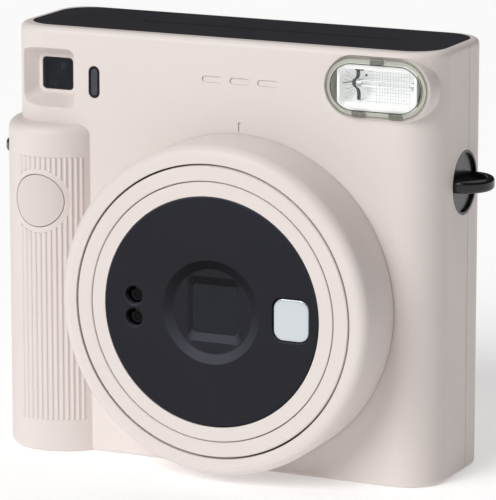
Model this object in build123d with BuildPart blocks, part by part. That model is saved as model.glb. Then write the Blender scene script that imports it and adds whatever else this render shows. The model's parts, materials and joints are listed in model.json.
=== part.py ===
from build123d import *
import math
import os

# An instant camera that prints square film.  It stands on its flat base.
# Millimetres.  +Z is up, the lens looks along -Y, and +X is to the right of somebody facing the lens.
# The origin is under the middle of the camera, at the height of its base.

# ---- body ----
HALF_WIDTH = 65.3
UPPER_LEFT_X = -61.7
HEIGHT = 118.6
FACE_Y = -10.25
BACK_Y = 28.75
PARTING_Y = 14.55
PARTING_GAP = 0.15
WALL = 2.0
ROOF = 3.0
FRONT_CORNER_R = 11.2
BACK_CORNER_R = 9.0
TOP_ROUND = 1.8
BASE_ROUND = 1.4

# ---- grip ----
NOSE_X = -50.2
NOSE_Y = -16.75
NOSE_R = 18.0
SIDE_RUN = 20.1
GRIP_TOP = 92.0
GRIP_TOP_ROUND = 2.6
RIBS_RIGHT = 10
RIBS_LEFT = 3
RIB_PITCH = 1.47
RIB_R = 0.5
RIB_PROUD = 0.3
RIB_LOW_Z = 9.3
RIB_HIGH_Z = 83.4
RIB_BARE_R = 9.0

# ---- shutter button ----
BUTTON_X = -49.4
BUTTON_Z = 71.2
BUTTON_R = 7.25
BUTTON_HOLE_R = 7.45
BUTTON_BACK_Y = -10.3
BUTTON_FLANGE_Y = -11.5
BUTTON_FLANGE_R = 8.4
SWITCH_TOP_Y = -4.5

# ---- lens ring and barrels, all round one axis along Y ----
AXIS_X = 9.0
AXIS_Z = 47.95
RING_FACE_Y = -28.75
RING_R = 45.33
RING_INNER_R = 40.4
RING_BORE_R = 42.4
RING_ROUND = 3.0
RING_BACK_Y = FACE_Y - 0.3
RING_HOLE_R = 44.1
SKIRT_R = 43.8
SKIRT_BACK_Y = -5.5
RETAINER_R = 45.4
TUBE_R = 42.15
TUBE_INNER_R = 40.3
TUBE_FRONT_Y = -26.2
MOUNT_FLANGE_FRONT_Y = -4.9
MOUNT_FLANGE_BACK_Y = -2.5
POST_RING_R = 43.0
POST_R = 2.5
OUTER_BARREL_R = 39.9
OUTER_BARREL_BORE_R = 37.5
OUTER_BARREL_LIP_R = 35.75
OUTER_BARREL_BACK_Y = -3.8
INNER_BARREL_R = 35.5
INNER_BARREL_BORE_R = 33.3
INNER_BARREL_BACK_Y = -6.0
STOP_FLANGE_R = 37.2
BARREL_LIP = 2.2
GUIDE_PIN_R = 1.2
GUIDE_PIN_Y = -6.6
GUIDE_PIN_COUNT = 3
BARREL_TRAVEL = 13.0

# ---- lens face panel ----
PANEL_R = 31.5
PANEL_POCKET_R = 31.62
PANEL_THICK = 1.8
DISH_R = 14.2
DISH_FLOOR_R = 11.65
DISH_DEPTH = 0.6
WINDOW_OUTER = 16.0
WINDOW_INNER = 12.8
WINDOW_CORNER_R = 1.6
MIRROR_X = 32.35
MIRROR_SIZE = (10.3, 11.5)
MIRROR_CORNER_R = 2.8
SENSOR_X = -13.9
SENSOR_ZS = (50.5, 44.35)
SENSOR_R = 2.5
CELL_R = 9.0
CELL_WALL = 1.5
SHUTTER_Y = -18.8
APERTURE_R = 2.75
BLADE_PIVOT_R = 11.0
BLADE_PIN_R = 0.9

# ---- viewfinder and light sensor ----
FINDER_X = -49.1
FINDER_Z = 104.75
FINDER_FLOOR_Y = -4.25
FINDER_MOUTH = (-51.0, 104.55)
FINDER_MOUTH_SIZE = (19.8, 16.3)
FINDER_FLOOR = (-49.3, 104.85)
FINDER_FLOOR_SIZE = (11.2, 10.9)
FINDER_WINDOW = (9.5, 9.0)
EYEPIECE_SIZE = (15.0, 10.0)
SENSOR_SLOT = (-34.9, 104.25)
SENSOR_SLOT_SIZE = (8.9, 3.4)

# ---- flash ----
FLASH_X = 48.93
FLASH_Z = 108.8
FLASH_LENGTH = 29.9
FLASH_HEIGHT = 16.4
FLASH_FRONT_Y = -12.0
FLASH_BACK_Y = -3.0
FLASH_WALL = 1.5
REFLECTOR_SIZE = (23.0, 11.6)
REFLECTOR_DEPTH = 7.0
FLASH_TUBE_R = 1.3

# ---- top panel ----
TOP_PANEL_X = (-59.0, 63.4)
TOP_PANEL_Y = (-6.35, 26.75)
TOP_PANEL_THICK = 1.5
TOP_PANEL_CORNER_R = 9.0
FILM_Y = 10.25
SLOT_LENGTH = 77.1
SLOT_WIDTH = 2.6
PANEL_SLOT_WIDTH = 1.6
CHAMBER_SLOT_WIDTH = 2.2

# ---- strap lugs ----
LUG_Y = 12.15
LUG_Z = 80.8
LUG_R = 8.7
LUG_HOLE_R = 8.8
LUG_REACH = 8.0
LUG_BAR_HALF = 8.1
LUG_BAR_THICK = 3.5
LUG_BAR_WIDTH = 2.6

# ---- film chamber and door ----
CHAMBER_X = (-31.0, 49.0)
CHAMBER_Z = (7.0, 99.0)
CHAMBER_FRONT_Y = 7.5
FRAME_WALL = 1.5
SILL_Y = (24.6, 26.45)
OPENING_X = (-40.3, 59.3)
OPENING_Z = (4.2, 102.6)
IMAGE_SIZE = 62.0
DOOR_GAP = 0.3
HINGE_X = 56.8
HINGE_Y = 26.85
KNUCKLE_R = 1.9
KNUCKLE_CLEAR_R = 2.2
HINGE_PIN_R = 0.95
HINGE_BORE_R = 1.0
KNUCKLES_Z = ((10.0, 22.0), (46.0, 60.0), (84.0, 96.0))
KNUCKLE_END_GAP = 0.4
PACK_WINDOW = (31.0, 44.0)
PACK_WINDOW_SIZE = (8.9, 36.9)
PACK_SPRINGS_X = (-14.0, 16.0)
PACK_SPRING_Z = (28.0, 78.0)

# ---- door latch: drawn released, and it slides along -X by its travel to lock ----
LATCH_Z = 53.4
LATCH_TRAVEL = 3.0
LATCH_PAD_X = (-36.0, -29.0)
LATCH_STEM_X = (-35.0, -33.4)
LATCH_BOLT_X = (-39.3, -33.4)
LATCH_BOLT_Y = (24.6, 26.0)
LATCH_PAD_HALF = 8.8
LATCH_STEM_HALF = 4.0
LATCH_BOLT_HALF = 6.0
LATCH_GROOVE_PITCH = 2.0

# ---- film drive ----
ROLLER_R = 3.5
ROLLER_Z = 107.0
NIP = 0.4
JOURNAL_R = 1.5
JOURNAL_BORE_R = 1.55
PLATE_LEFT_X = (-32.8, -31.2)
PLATE_RIGHT_X = (49.2, 50.8)
GEAR_X = (-36.2, -33.8)
GEAR_MODULE = 0.5
ROLLER_TEETH = 24
IDLER_TEETH = 28
PINION_TEETH = 10
SHAFT_R = 0.8
MOTOR_R = 6.0
MOTOR_X = (-56.8, -38.9)

# ---- batteries ----
BATTERY_X = -49.3
BATTERY_Y = -0.75
BATTERY_R = 7.8
BATTERY_LENGTH = 27.0
FLAP_X = (-58.8, -39.8)
FLAP_Y = (-9.7, 8.2)
FLAP_THICK = 1.8
FLAP_AXIS_Y = 9.9
FLAP_AXIS_Z = 1.9
FLAP_KNUCKLE_R = 1.6
FLAP_RECESS_BACK_Y = 12.2
FLAP_EAR = 2.4
FLAP_PIN_R = 0.8
FLAP_PIN_REACH = 1.8
FLAP_PIN_CLEARANCE = 0.05

# ---- film counter ----
DIAL_X = -50.2
DIAL_Z = 26.0
COUNTER_WINDOW = (DIAL_X, DIAL_Z + 5.8)
COUNTER_WINDOW_SIZE = (7.1, 5.1)

# ---- case screws ----
CASE_SCREWS = ((-58.0, 12.0), (-58.0, 66.0))
BOSS_R = 3.4
BOSS_FRONT_Y = 8.0
SCREW_HEAD_R = 2.2
SCREW_R = 0.9

# ---- worked out from the above ----
DRIVE_ROLLER_Y = FILM_Y + ROLLER_R + NIP / 2
PINCH_ROLLER_Y = FILM_Y - ROLLER_R - NIP / 2
IDLER_Z = ROLLER_Z - GEAR_MODULE * (ROLLER_TEETH + IDLER_TEETH) / 2
PINION_Z = IDLER_Z - GEAR_MODULE * (IDLER_TEETH + PINION_TEETH) / 2

os.makedirs("parts", exist_ok=True)


# ---- helpers ----

def save(part, name):
    part.label = name
    export_step(part, f"parts/{name}.step")


def facing_front(y):
    """A sketch plane across the lens axis at y.  Its own x is X and y is Z, and its normal looks at -Y."""
    return Plane(origin=(0, y, 0), x_dir=(1, 0, 0), z_dir=(0, -1, 0))


def slab(x, y, z):
    """A plain block between two x, two y and two z values."""
    with BuildPart() as block:
        with BuildSketch(Plane.XY.offset(z[0])):
            with Locations(((x[0] + x[1]) / 2, (y[0] + y[1]) / 2)):
                Rectangle(x[1] - x[0], y[1] - y[0])
        extrude(amount=z[1] - z[0])
    return block.part


def disc(radius, y_front, y_back, bore=0.0, x=AXIS_X, z=AXIS_Z):
    """A disc or tube round an axis along Y, from its front face to its back face."""
    with BuildPart() as round_part:
        with BuildSketch(facing_front(y_front)):
            with Locations((x, z)):
                Circle(radius)
                if bore:
                    Circle(bore, mode=Mode.SUBTRACT)
        extrude(amount=y_front - y_back)
    return round_part.part


def rod_x(radius, x_low, x_high, y, z, bore=0.0):
    """A rod or tube along X."""
    with BuildPart() as rod:
        with BuildSketch(Plane.YZ.offset(x_low)):
            with Locations((y, z)):
                Circle(radius)
                if bore:
                    Circle(bore, mode=Mode.SUBTRACT)
        extrude(amount=x_high - x_low)
    return rod.part


def rod_z(radius, z_low, z_high, x, y, bore=0.0):
    """A rod or tube along Z."""
    with BuildPart() as rod:
        with BuildSketch(Plane.XY.offset(z_low)):
            with Locations((x, y)):
                Circle(radius)
                if bore:
                    Circle(bore, mode=Mode.SUBTRACT)
        extrude(amount=z_high - z_low)
    return rod.part


def rounded_plate(size, corner_r, centre, y_front, y_back):
    """A plate across Y with rounded corners, centred at (x, z)."""
    with BuildPart() as plate:
        with BuildSketch(facing_front(y_front)):
            with Locations(centre):
                RectangleRounded(size[0], size[1], corner_r)
        extrude(amount=y_front - y_back)
    return plate.part


def stadium(length, height, centre, y_front, y_back):
    """A plate across Y whose ends are half circles, centred at (x, z)."""
    with BuildPart() as plate:
        with BuildSketch(facing_front(y_front)):
            with Locations(centre):
                SlotOverall(length, height)
        extrude(amount=y_front - y_back)
    return plate.part


# ---- housing: one outline in plan, split into a front and a rear shell ----

def plan_prism(x_low, x_high, front_r, back_r, inset, z_low, z_high):
    """The body's plan with rounded corners, drawn inwards by inset, between two heights."""
    left = x_low + inset
    right = x_high - inset
    front = FACE_Y + inset
    back = BACK_Y - inset
    fr = front_r - inset
    br = back_r - inset
    with BuildPart() as prism:
        with BuildSketch(Plane.XY.offset(z_low)):
            with BuildLine():
                Line((left + fr, front), (right - fr, front))
                RadiusArc((right - fr, front), (right, front + fr), -fr)
                Line((right, front + fr), (right, back - br))
                RadiusArc((right, back - br), (right - br, back), -br)
                Line((right - br, back), (left + br, back))
                RadiusArc((left + br, back), (left, back - br), -br)
                Line((left, back - br), (left, front + fr))
                RadiusArc((left, front + fr), (left + fr, front), -fr)
            make_face()
        extrude(amount=z_high - z_low)
    return prism.part


def grip_prism(inset, z_low, z_high):
    """The grip: a nose, round on the right and elliptical on the left, that runs back along the side."""
    left = -HALF_WIDTH + inset
    front = NOSE_Y + inset
    right_y = NOSE_Y + NOSE_R
    right = NOSE_X + NOSE_R - inset
    side_y = NOSE_Y + SIDE_RUN
    back = BACK_Y - inset
    back_r = BACK_CORNER_R - inset
    with BuildPart() as prism:
        with BuildSketch(Plane.XY.offset(z_low)):
            with BuildLine():
                RadiusArc((NOSE_X, front), (right, right_y), -(NOSE_R - inset))
                Line((right, right_y), (right, back))
                Line((right, back), (left + back_r, back))
                RadiusArc((left + back_r, back), (left, back - back_r), -back_r)
                Line((left, back - back_r), (left, side_y))
                EllipticalCenterArc((NOSE_X, side_y), NOSE_X - left, side_y - front, 180, arc_size=90)
            make_face()
        extrude(amount=z_high - z_low)
    return prism.part


def grip_block():
    """The grip as a block of its own.  Its right side is buried in the body, so it stays sharp."""
    buried_x = NOSE_X + NOSE_R - 1
    with BuildPart() as block:
        add(grip_prism(0, 0, GRIP_TOP))
        levels = block.edges().group_by(Axis.Z)
        fillet(levels[-1].filter_by(lambda edge: edge.center().X < buried_x), GRIP_TOP_ROUND)
        base = block.edges().group_by(Axis.Z)[0]
        fillet(base.filter_by(lambda edge: edge.center().X < buried_x), BASE_ROUND)
    return block.part


def housing_block():
    """The solid outer shape of both shells together."""
    with BuildPart() as block:
        add(plan_prism(UPPER_LEFT_X, HALF_WIDTH, FRONT_CORNER_R, BACK_CORNER_R, 0, 0, HEIGHT))
        fillet(block.edges().group_by(Axis.Z)[-1], TOP_ROUND)
        fillet(block.edges().group_by(Axis.Z)[0], BASE_ROUND)
        add(grip_block())
    return block.part


def housing_cavity():
    with BuildPart() as cavity:
        add(plan_prism(UPPER_LEFT_X, HALF_WIDTH, FRONT_CORNER_R, BACK_CORNER_R, WALL, WALL, HEIGHT - ROOF))
        add(grip_prism(WALL, WALL, GRIP_TOP - WALL))
    return cavity.part


def top_panel_blank(gap):
    """The flush top panel, or, with a gap, the recess that it lies in."""
    low = HEIGHT - TOP_PANEL_THICK - gap
    width = TOP_PANEL_X[1] - TOP_PANEL_X[0] + 2 * gap
    depth = TOP_PANEL_Y[1] - TOP_PANEL_Y[0] + 2 * gap
    with BuildPart() as blank:
        with BuildSketch(Plane.XY.offset(low)):
            with Locations((sum(TOP_PANEL_X) / 2, sum(TOP_PANEL_Y) / 2)):
                RectangleRounded(width, depth, TOP_PANEL_CORNER_R + gap)
        extrude(amount=HEIGHT - low)
    return blank.part


def film_slot(width, z_low, z_high):
    """The path that a print takes upwards out of the chamber and the housing."""
    slot_x = (AXIS_X - SLOT_LENGTH / 2, AXIS_X + SLOT_LENGTH / 2)
    return slab(slot_x, (FILM_Y - width / 2, FILM_Y + width / 2), (z_low, z_high))


def rib_points():
    """Where the grip's ribs stand, evenly spaced along the nose from its front line to either side."""
    ring_r = NOSE_R + RIB_PROUD - RIB_R
    side_x = HALF_WIDTH + NOSE_X + RIB_PROUD - RIB_R
    side_y = SIDE_RUN + RIB_PROUD - RIB_R
    for step in range(RIBS_RIGHT):
        turn = RIB_PITCH * step / ring_r
        yield NOSE_X + ring_r * math.sin(turn), NOSE_Y + NOSE_R - ring_r * math.cos(turn)
    for step in range(1, RIBS_LEFT + 1):
        turn = RIB_PITCH * step / side_x
        yield NOSE_X - side_x * math.sin(turn), NOSE_Y + SIDE_RUN - side_y * math.cos(turn)


def rib_band():
    """Fine vertical ribs round the grip, with a bare ring left round the shutter button."""
    with BuildPart() as band:
        with BuildSketch(Plane.XY.offset(RIB_LOW_Z)):
            with Locations(*rib_points()):
                Circle(RIB_R)
        extrude(amount=RIB_HIGH_Z - RIB_LOW_Z)
        add(disc(RIB_BARE_R, -20, -5, x=BUTTON_X, z=BUTTON_Z), mode=Mode.SUBTRACT)
    return band.part


def finder_pocket(grow):
    """The viewfinder's sloping recess, or, grown, the block that its walls are cut from."""
    with BuildPart() as pocket:
        with BuildSketch(facing_front(FACE_Y)):
            with Locations(FINDER_MOUTH):
                RectangleRounded(FINDER_MOUTH_SIZE[0] + grow, FINDER_MOUTH_SIZE[1] + grow, 2.2)
        with BuildSketch(facing_front(FINDER_FLOOR_Y + grow / 2)):
            with Locations(FINDER_FLOOR):
                RectangleRounded(FINDER_FLOOR_SIZE[0] + grow, FINDER_FLOOR_SIZE[1] + grow, 1.8)
        loft()
    return pocket.part


def lug_seat(side):
    """The round hole in a side wall, shared by both shells, that a strap lug sits in."""
    return rod_x(LUG_HOLE_R, side * HALF_WIDTH - 4, side * HALF_WIDTH + 4, LUG_Y, LUG_Z)


def shell_blank(keep_front):
    """One half of the hollow housing, cut at the parting line."""
    with BuildPart() as blank:
        add(housing_block())
        add(housing_cavity(), mode=Mode.SUBTRACT)
        add(top_panel_blank(0.1), mode=Mode.SUBTRACT)
        add(film_slot(SLOT_WIDTH, HEIGHT - 5, HEIGHT), mode=Mode.SUBTRACT)
        for side in (-1, 1):
            add(lug_seat(side), mode=Mode.SUBTRACT)
        reach = 2 * HALF_WIDTH
        if keep_front:
            cut = slab((-reach, reach), (PARTING_Y - PARTING_GAP / 2, BACK_Y + 1), (-1, HEIGHT + 1))
        else:
            cut = slab((-reach, reach), (FACE_Y - 20, PARTING_Y + PARTING_GAP / 2), (-1, HEIGHT + 1))
        add(cut, mode=Mode.SUBTRACT)
    return blank.part


def front_shell():
    mark_z = AXIS_Z + RING_R + 1.9
    with BuildPart() as shell:
        add(shell_blank(True))
        add(rib_band())
        with BuildPart(mode=Mode.PRIVATE) as finder_walls:
            add(finder_pocket(2 * WALL))
            add(housing_block(), mode=Mode.INTERSECT)
        add(finder_walls.part)
        add(finder_pocket(0), mode=Mode.SUBTRACT)
        add(
            rounded_plate(FINDER_WINDOW, 1.2, (FINDER_X, FINDER_Z), FINDER_FLOOR_Y - 1, FINDER_FLOOR_Y + 3),
            mode=Mode.SUBTRACT,
        )
        add(disc(RING_HOLE_R, FACE_Y - 1, FACE_Y + WALL + 1), mode=Mode.SUBTRACT)
        add(disc(BUTTON_HOLE_R, -20, -8, x=BUTTON_X, z=BUTTON_Z), mode=Mode.SUBTRACT)
        with BuildSketch(facing_front(FACE_Y)):
            with Locations(SENSOR_SLOT):
                SlotOverall(*SENSOR_SLOT_SIZE, rotation=90)
        extrude(amount=-WALL - 1, mode=Mode.SUBTRACT)
        flash_centre = (FLASH_X, FLASH_Z)
        flash_hole = (FLASH_LENGTH + 0.2, FLASH_HEIGHT + 0.2)
        add(stadium(*flash_hole, flash_centre, FLASH_FRONT_Y - 1, FLASH_BACK_Y), mode=Mode.SUBTRACT)
        # index mark over the ring, and three plain sunk dashes where a badge would be
        add(rounded_plate((1.0, 2.6), 0.45, (AXIS_X, mark_z), FACE_Y - 1, FACE_Y + 0.35), mode=Mode.SUBTRACT)
        for column in (-1, 0, 1):
            add(
                stadium(6.0, 1.7, (AXIS_X + 8.2 * column, 107.6), FACE_Y - 1, FACE_Y + 0.3),
                mode=Mode.SUBTRACT,
            )
        # battery bay mouth, with its hinge's recess behind it and an ear at each end of the hinge
        add(slab(FLAP_X, (FLAP_Y[0], FLAP_RECESS_BACK_Y), (-1, WALL + 0.1)), mode=Mode.SUBTRACT)
        ear_y = (FLAP_AXIS_Y - 1.5, FLAP_AXIS_Y + 1.5)
        ear_z = (WALL - 0.1, FLAP_AXIS_Z + FLAP_KNUCKLE_R)
        for ear_x in ((FLAP_X[0] - FLAP_EAR, FLAP_X[0]), (FLAP_X[1], FLAP_X[1] + FLAP_EAR)):
            add(slab(ear_x, ear_y, ear_z))
        pin_room = FLAP_PIN_REACH + 0.2
        add(
            rod_x(
                FLAP_PIN_R + FLAP_PIN_CLEARANCE,
                FLAP_X[0] - pin_room,
                FLAP_X[1] + pin_room,
                FLAP_AXIS_Y,
                FLAP_AXIS_Z,
            ),
            mode=Mode.SUBTRACT,
        )
        # screw bosses on the left wall
        for x, z in CASE_SCREWS:
            add(disc(BOSS_R, BOSS_FRONT_Y, PARTING_Y - PARTING_GAP, x=x, z=z))
            web_y = (BOSS_FRONT_Y, PARTING_Y - PARTING_GAP)
            add(slab((-HALF_WIDTH + 1, x), web_y, (z - 0.8, z + 0.8)))
            add(disc(SCREW_R + 0.05, BOSS_FRONT_Y + 0.6, PARTING_Y + 1, x=x, z=z), mode=Mode.SUBTRACT)
    save(shell.part, "front_shell")


def rear_shell():
    eyepiece_hole = (EYEPIECE_SIZE[0] + 0.2, EYEPIECE_SIZE[1] + 0.2)
    counter_hole = (COUNTER_WINDOW_SIZE[0] + 0.1, COUNTER_WINDOW_SIZE[1] + 0.1)
    with BuildPart() as shell:
        add(shell_blank(False))
        add(slab(OPENING_X, (BACK_Y - WALL - 1, BACK_Y + 1), OPENING_Z), mode=Mode.SUBTRACT)
        add(rod_z(KNUCKLE_CLEAR_R, OPENING_Z[0], OPENING_Z[1], HINGE_X, HINGE_Y), mode=Mode.SUBTRACT)
        for low, high in KNUCKLES_Z:
            add(rod_z(KNUCKLE_R, low, high, HINGE_X, HINGE_Y))
            add(slab((HINGE_X, OPENING_X[1] + 0.6), (HINGE_Y - 1.4, HINGE_Y + 1.1), (low, high)))
        add(rod_z(HINGE_BORE_R, 9.0, 100.0, HINGE_X, HINGE_Y), mode=Mode.SUBTRACT)
        add(
            rounded_plate(eyepiece_hole, 2.6, (FINDER_X, FINDER_Z), BACK_Y - 3, BACK_Y + 1),
            mode=Mode.SUBTRACT,
        )
        # film counter window and the dial's post
        add(rounded_plate(counter_hole, 1.1, COUNTER_WINDOW, BACK_Y - 3, BACK_Y + 1), mode=Mode.SUBTRACT)
        add(disc(1.2, 24.2, BACK_Y - WALL + 0.2, x=DIAL_X, z=DIAL_Z))
        # screw holes with counterbores
        for x, z in CASE_SCREWS:
            add(disc(SCREW_R + 0.4, 10, BACK_Y + 1, x=x, z=z), mode=Mode.SUBTRACT)
            add(disc(SCREW_HEAD_R + 0.2, BACK_Y - 1.1, BACK_Y + 1, x=x, z=z), mode=Mode.SUBTRACT)
    save(shell.part, "rear_shell")


def top_panel():
    with BuildPart() as panel:
        add(top_panel_blank(0))
        add(film_slot(PANEL_SLOT_WIDTH, HEIGHT - 3, HEIGHT + 1), mode=Mode.SUBTRACT)
    save(panel.part, "top_panel")


# ---- viewfinder and light sensor ----

def viewfinder():
    centre = (FINDER_X, FINDER_Z)
    window = (FINDER_WINDOW[0] - 0.1, FINDER_WINDOW[1] - 0.1)
    glass_y = FINDER_FLOOR_Y + 0.25
    save(rounded_plate(window, 1.15, centre, glass_y, glass_y + 1.2), "viewfinder_window")
    with BuildPart() as tube:
        add(rounded_plate((13.0, 12.0), 1.5, centre, -2.0, 26.0))
        add(rounded_plate((11.0, 10.0), 0.8, centre, -3.0, 27.0), mode=Mode.SUBTRACT)
    save(tube.part, "viewfinder_tube")
    save(rounded_plate((10.9, 9.9), 0.75, centre, 0.0, 1.8), "viewfinder_objective")
    with BuildPart() as frame:
        add(rounded_plate(EYEPIECE_SIZE, 2.5, centre, 26.1, BACK_Y))
        add(rounded_plate((10.4, 7.0), 1.2, centre, 25.0, BACK_Y + 1), mode=Mode.SUBTRACT)
    save(frame.part, "eyepiece_frame")
    save(rounded_plate((10.3, 6.9), 1.15, centre, 26.4, 27.8), "eyepiece_lens")
    with BuildPart() as sensor:
        with BuildSketch(facing_front(FACE_Y + 0.15)):
            with Locations(SENSOR_SLOT):
                SlotOverall(SENSOR_SLOT_SIZE[0] - 0.1, SENSOR_SLOT_SIZE[1] - 0.1, rotation=90)
        extrude(amount=-WALL)
    save(sensor.part, "light_sensor_window")


# ---- flash ----

def flash():
    centre = (FLASH_X, FLASH_Z)
    with BuildPart() as cover:
        add(stadium(FLASH_LENGTH, FLASH_HEIGHT, centre, FLASH_FRONT_Y, FLASH_BACK_Y))
        fillet(cover.faces().sort_by(Axis.Y)[0].edges(), 0.7)
        inner_length = FLASH_LENGTH - 2 * FLASH_WALL
        inner_height = FLASH_HEIGHT - 2 * FLASH_WALL
        add(
            stadium(inner_length, inner_height, centre, FLASH_FRONT_Y + 1.3, FLASH_BACK_Y + 1),
            mode=Mode.SUBTRACT,
        )
    save(cover.part, "flash_cover")
    front = FLASH_FRONT_Y + 1.6
    width, height = REFLECTOR_SIZE
    with BuildPart() as reflector:
        with BuildSketch(facing_front(front)):
            with Locations(centre):
                RectangleRounded(width, height, 2.4)
        with BuildSketch(facing_front(front + REFLECTOR_DEPTH)):
            with Locations(centre):
                RectangleRounded(width - 3.0, 4.6, 2.2)
        loft()
        with BuildSketch(facing_front(front)):
            with Locations(centre):
                RectangleRounded(width - 1.2, height - 1.2, 1.9)
        with BuildSketch(facing_front(front + REFLECTOR_DEPTH - 0.6)):
            with Locations(centre):
                RectangleRounded(width - 4.2, 3.4, 1.6)
        loft(mode=Mode.SUBTRACT)
    save(reflector.part, "flash_reflector")
    tube_y = front + REFLECTOR_DEPTH - 2.9
    save(rod_x(FLASH_TUBE_R, FLASH_X - 8.6, FLASH_X + 8.6, tube_y, FLASH_Z), "flash_tube")
    with BuildPart() as capacitor:
        add(rod_z(6.3, 3.5, 25.0, 56.3, 0.5))
        fillet(capacitor.edges(), 0.8)
    save(capacitor.part, "flash_capacitor")


# ---- lens ring and barrels ----

def lens_ring():
    with BuildPart() as ring:
        add(disc(RING_R, RING_FACE_Y, RING_BACK_Y))
        fillet(ring.faces().sort_by(Axis.Y)[0].edges(), RING_ROUND)
        add(disc(SKIRT_R, RING_BACK_Y, SKIRT_BACK_Y))
        add(disc(RING_BORE_R, RING_FACE_Y + 2.25, SKIRT_BACK_Y + 1), mode=Mode.SUBTRACT)
        add(disc(RING_INNER_R, RING_FACE_Y - 1, RING_FACE_Y + 3), mode=Mode.SUBTRACT)
    save(ring.part, "lens_ring")
    save(disc(RETAINER_R, -7.9, SKIRT_BACK_Y, bore=SKIRT_R + 0.02), "ring_retainer")


def lens_mount():
    """The fixed guide tube that the ring turns on and the barrels slide in, on four posts."""
    slot_front = GUIDE_PIN_Y - BARREL_TRAVEL - 2.0
    with BuildPart() as mount:
        add(disc(TUBE_R, TUBE_FRONT_Y, MOUNT_FLANGE_BACK_Y, bore=TUBE_INNER_R))
        add(disc(RETAINER_R, MOUNT_FLANGE_FRONT_Y, MOUNT_FLANGE_BACK_Y, bore=TUBE_INNER_R))
        for angle in (60, 120, 240, 300):
            x = AXIS_X + POST_RING_R * math.cos(math.radians(angle))
            z = AXIS_Z + POST_RING_R * math.sin(math.radians(angle))
            add(disc(POST_R, MOUNT_FLANGE_BACK_Y - 0.5, CHAMBER_FRONT_Y - FRAME_WALL, x=x, z=z))
        for step in range(GUIDE_PIN_COUNT):
            angle = 90 + 360 * step / GUIDE_PIN_COUNT
            with BuildSketch(facing_front(slot_front)):
                with Locations((AXIS_X, AXIS_Z)):
                    with PolarLocations(TUBE_R - 1, 1, angle):
                        Rectangle(8, 2 * GUIDE_PIN_R + 0.5)
            extrude(amount=slot_front - (GUIDE_PIN_Y + GUIDE_PIN_R + 0.3), mode=Mode.SUBTRACT)
    save(mount.part, "lens_mount")


def outer_barrel():
    with BuildPart() as barrel:
        add(disc(OUTER_BARREL_R, RING_FACE_Y, OUTER_BARREL_BACK_Y))
        fillet(barrel.faces().sort_by(Axis.Y)[0].edges(), 0.35)
        add(disc(OUTER_BARREL_BORE_R, RING_FACE_Y + BARREL_LIP, 0), mode=Mode.SUBTRACT)
        add(disc(OUTER_BARREL_LIP_R, RING_FACE_Y - 1, 0), mode=Mode.SUBTRACT)
        chamfer_edge = barrel.faces().sort_by(Axis.Y)[0].edges().sort_by(SortBy.LENGTH)[0]
        chamfer(chamfer_edge, 0.2)
        for step in range(GUIDE_PIN_COUNT):
            add(guide_pin(step), mode=Mode.SUBTRACT)
    save(barrel.part, "outer_barrel")
    with BuildPart() as pins:
        for step in range(GUIDE_PIN_COUNT):
            add(guide_pin(step))
    save(pins.part, "barrel_guide_pins")


def guide_pin(step):
    """One radial pin, rooted in the outer barrel and ending in the guide tube's slot."""
    angle = math.radians(90 + 360 * step / GUIDE_PIN_COUNT)
    outward = Vector(math.cos(angle), 0, math.sin(angle))
    root = Vector(AXIS_X, GUIDE_PIN_Y, AXIS_Z) + outward * (OUTER_BARREL_BORE_R + 0.6)
    with BuildPart() as pin:
        with BuildSketch(Plane(origin=root, x_dir=(0, 1, 0), z_dir=outward)):
            Circle(GUIDE_PIN_R)
        extrude(amount=TUBE_R - OUTER_BARREL_BORE_R - 0.8)
    return pin.part


def inner_barrel():
    wall_front = RING_FACE_Y + PANEL_THICK
    wall_back = wall_front + 2.0
    with BuildPart() as barrel:
        add(disc(INNER_BARREL_R, RING_FACE_Y, INNER_BARREL_BACK_Y))
        fillet(barrel.faces().sort_by(Axis.Y)[0].edges(), 0.25)
        add(disc(STOP_FLANGE_R, INNER_BARREL_BACK_Y - 2, INNER_BARREL_BACK_Y))
        add(disc(INNER_BARREL_BORE_R, wall_back, 0), mode=Mode.SUBTRACT)
        add(disc(CELL_R + CELL_WALL, wall_back - 0.2, SHUTTER_Y))
        add(disc(PANEL_POCKET_R, RING_FACE_Y - 1, wall_front), mode=Mode.SUBTRACT)
        add(
            rounded_plate((15.2, 15.2), 1.6, (AXIS_X, AXIS_Z), wall_front - 1, wall_front + 1.3),
            mode=Mode.SUBTRACT,
        )
        add(disc(CELL_R, wall_front + 1.2, SHUTTER_Y + 1), mode=Mode.SUBTRACT)
        for z in SENSOR_ZS:
            add(disc(1.6, wall_front - 1, wall_back + 1, x=SENSOR_X, z=z), mode=Mode.SUBTRACT)
    save(barrel.part, "inner_barrel")


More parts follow.
